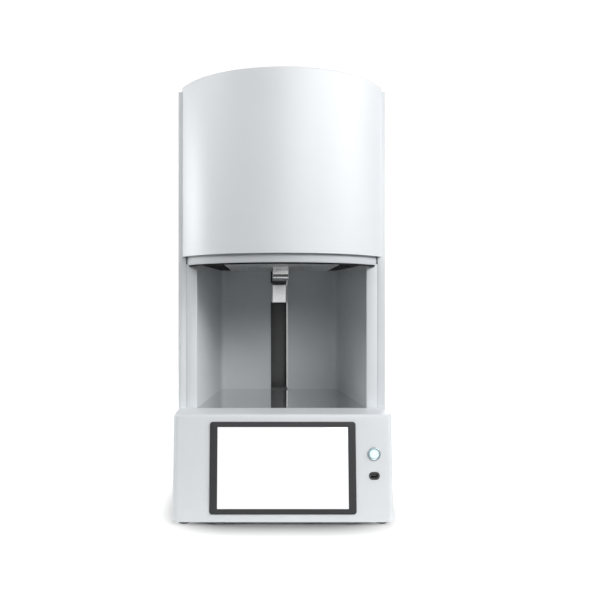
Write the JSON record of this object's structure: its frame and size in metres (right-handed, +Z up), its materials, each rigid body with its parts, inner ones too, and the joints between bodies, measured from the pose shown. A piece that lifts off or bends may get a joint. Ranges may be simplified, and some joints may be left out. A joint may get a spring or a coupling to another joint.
{
  "type": "dental sintering furnace",
  "caption": "Bench-top dental sintering furnace, loaded from below: bowed head, open bay with a plug lift, and a sloping console with a screen and start button.",
  "frame": {"origin": "on the bench, at the middle of the furnace's footprint", "axes": "+Z up, -Y towards the user (the front), +X to the user's right; mirror-like about X=0 except for button, port and rear fittings"},
  "size_m": [0.37, 0.4669, 0.756],
  "materials": {
    "white_steel": "white powder coat, satin",
    "bay_grey": "pale grey powder coat, satin",
    "bay_floor_gloss": "grey enamel, glossy",
    "frame_steel": "zinc grey coat, matt",
    "shield_steel": "stainless sheet",
    "bezel_black": "dark grey, satin",
    "screen_glass": "cover glass over a lit white picture",
    "module_metal": "plated sheet can",
    "board_green": "circuit board",
    "port_black": "black, matt",
    "ring_metal": "polished stainless ring",
    "button_light": "lit pale cyan cap",
    "rubber_black": "black rubber",
    "fibre": "vacuum-formed ceramic fibre board",
    "element_metal": "molybdenum disilicide, dark glaze",
    "ceramic": "fired alumina",
    "strap_aluminium": "braided strap, pressed",
    "probe_metal": "brushed stainless steel",
    "cover_silver": "satin anodised",
    "column_black": "black anodised",
    "plain_aluminium": "milled aluminium",
    "bearing_steel": "ground bearing steel",
    "nut_brass": "turned bronze",
    "motor_black": "black stator, plain end caps",
    "core_steel": "laminated core with taped coil",
    "black_plastic": "black glass-filled plastic",
    "rocker_red": "black rocker",
    "guard_chrome": "plated steel wire"
  },
  "bodies": {
    "root": {"base_pan": "white_steel", "console_shell": "white_steel", "left_side_panel": "white_steel", "right_side_panel": "white_steel", "pillar_trims": "white_steel", "head_cover": "white_steel", "head_skirt": "white_steel", "top_vent": "white_steel", "bay_side_walls": "bay_grey", "bay_back_wall": "bay_grey", "bay_floor": "bay_floor_gloss", "frame_uprights": "frame_steel", "ceiling_plate": "frame_steel", "rear_panel": "frame_steel", "furnace_casing": "frame_steel", "light_shield": "shield_steel", "display_bezel": "bezel_black", "display_glass": "screen_glass", "display_panel": "module_metal", "data_socket": "module_metal", "power_controller": "module_metal", "supply_unit": "module_metal", "control_board": "board_green", "port_bezel": "port_black", "button_ring": "ring_metal", "rubber_feet": "rubber_black", "insulation_base": "fibre", "insulation_ring": "fibre", "insulation_lid": "fibre", "heating_elements": "element_metal", "element_clamps": "ceramic", "element_straps": "strap_aluminium", "thermocouple": "probe_metal", "lift_column": "column_black", "column_strip": "column_black", "bearing_blocks": "plain_aluminium", "heat_sink": "plain_aluminium", "screw_bearings": "bearing_steel", "guide_rods": "bearing_steel", "rear_screws": "bearing_steel", "lift_motor": "motor_black", "power_transformer": "core_steel", "limit_sensors": "black_plastic", "fan_frames": "black_plastic", "mains_inlet": "black_plastic", "breaker_body": "black_plastic", "fan_guards": "guard_chrome"},
    "lift": {"carriage": "plain_aluminium", "lift_nut": "nut_brass", "lift_arm": "probe_metal", "arm_root_cover": "cover_silver", "plug_plate": "probe_metal", "plug_insulation": "fibre", "setter_plate": "ceramic"},
    "lift_screw": {"lift_screw": "bearing_steel"},
    "start_button": {"start_button": "button_light"},
    "breaker_rocker": {"breaker_rocker": "rocker_red"},
    "base_fan": {"base_fan_rotor": "black_plastic"},
    "head_fan": {"head_fan_rotor": "black_plastic"}
  },
  "joints": [
    {"name": "lift_slide", "type": "slide", "parent": "root", "child": "lift", "axis": [0, 0, 1], "range_m": [-0.18, 0]},
    {"name": "screw_turn", "type": "hinge", "parent": "root", "child": "lift_screw", "pos_m": [0, 0.1735, 0.3], "axis": [0, 0, 1], "range_deg": [0, 6480]},
    {"name": "button_press", "type": "slide", "parent": "root", "child": "start_button", "axis": [0, 0.9948, -0.1017], "range_m": [0, 0.0025], "stiffness_N_per_m": 800, "springref_m": -0.0005},
    {"name": "breaker_swing", "type": "hinge", "parent": "root", "child": "breaker_rocker", "pos_m": [0.06, 0.2265, 0.048], "axis": [1, 0, 0], "range_deg": [-18, 0]},
    {"name": "base_fan_spin", "type": "hinge", "parent": "root", "child": "base_fan", "pos_m": [-0.1, 0.2175, 0.092], "axis": [0, 1, 0], "continuous": true},
    {"name": "head_fan_spin", "type": "hinge", "parent": "root", "child": "head_fan", "pos_m": [0, 0.2175, 0.64], "axis": [0, 1, 0], "continuous": true}
  ],
  "couplings": [
    {"joint": "screw_turn", "follows": "lift_slide", "rad_per_m": -628.32}
  ]
}
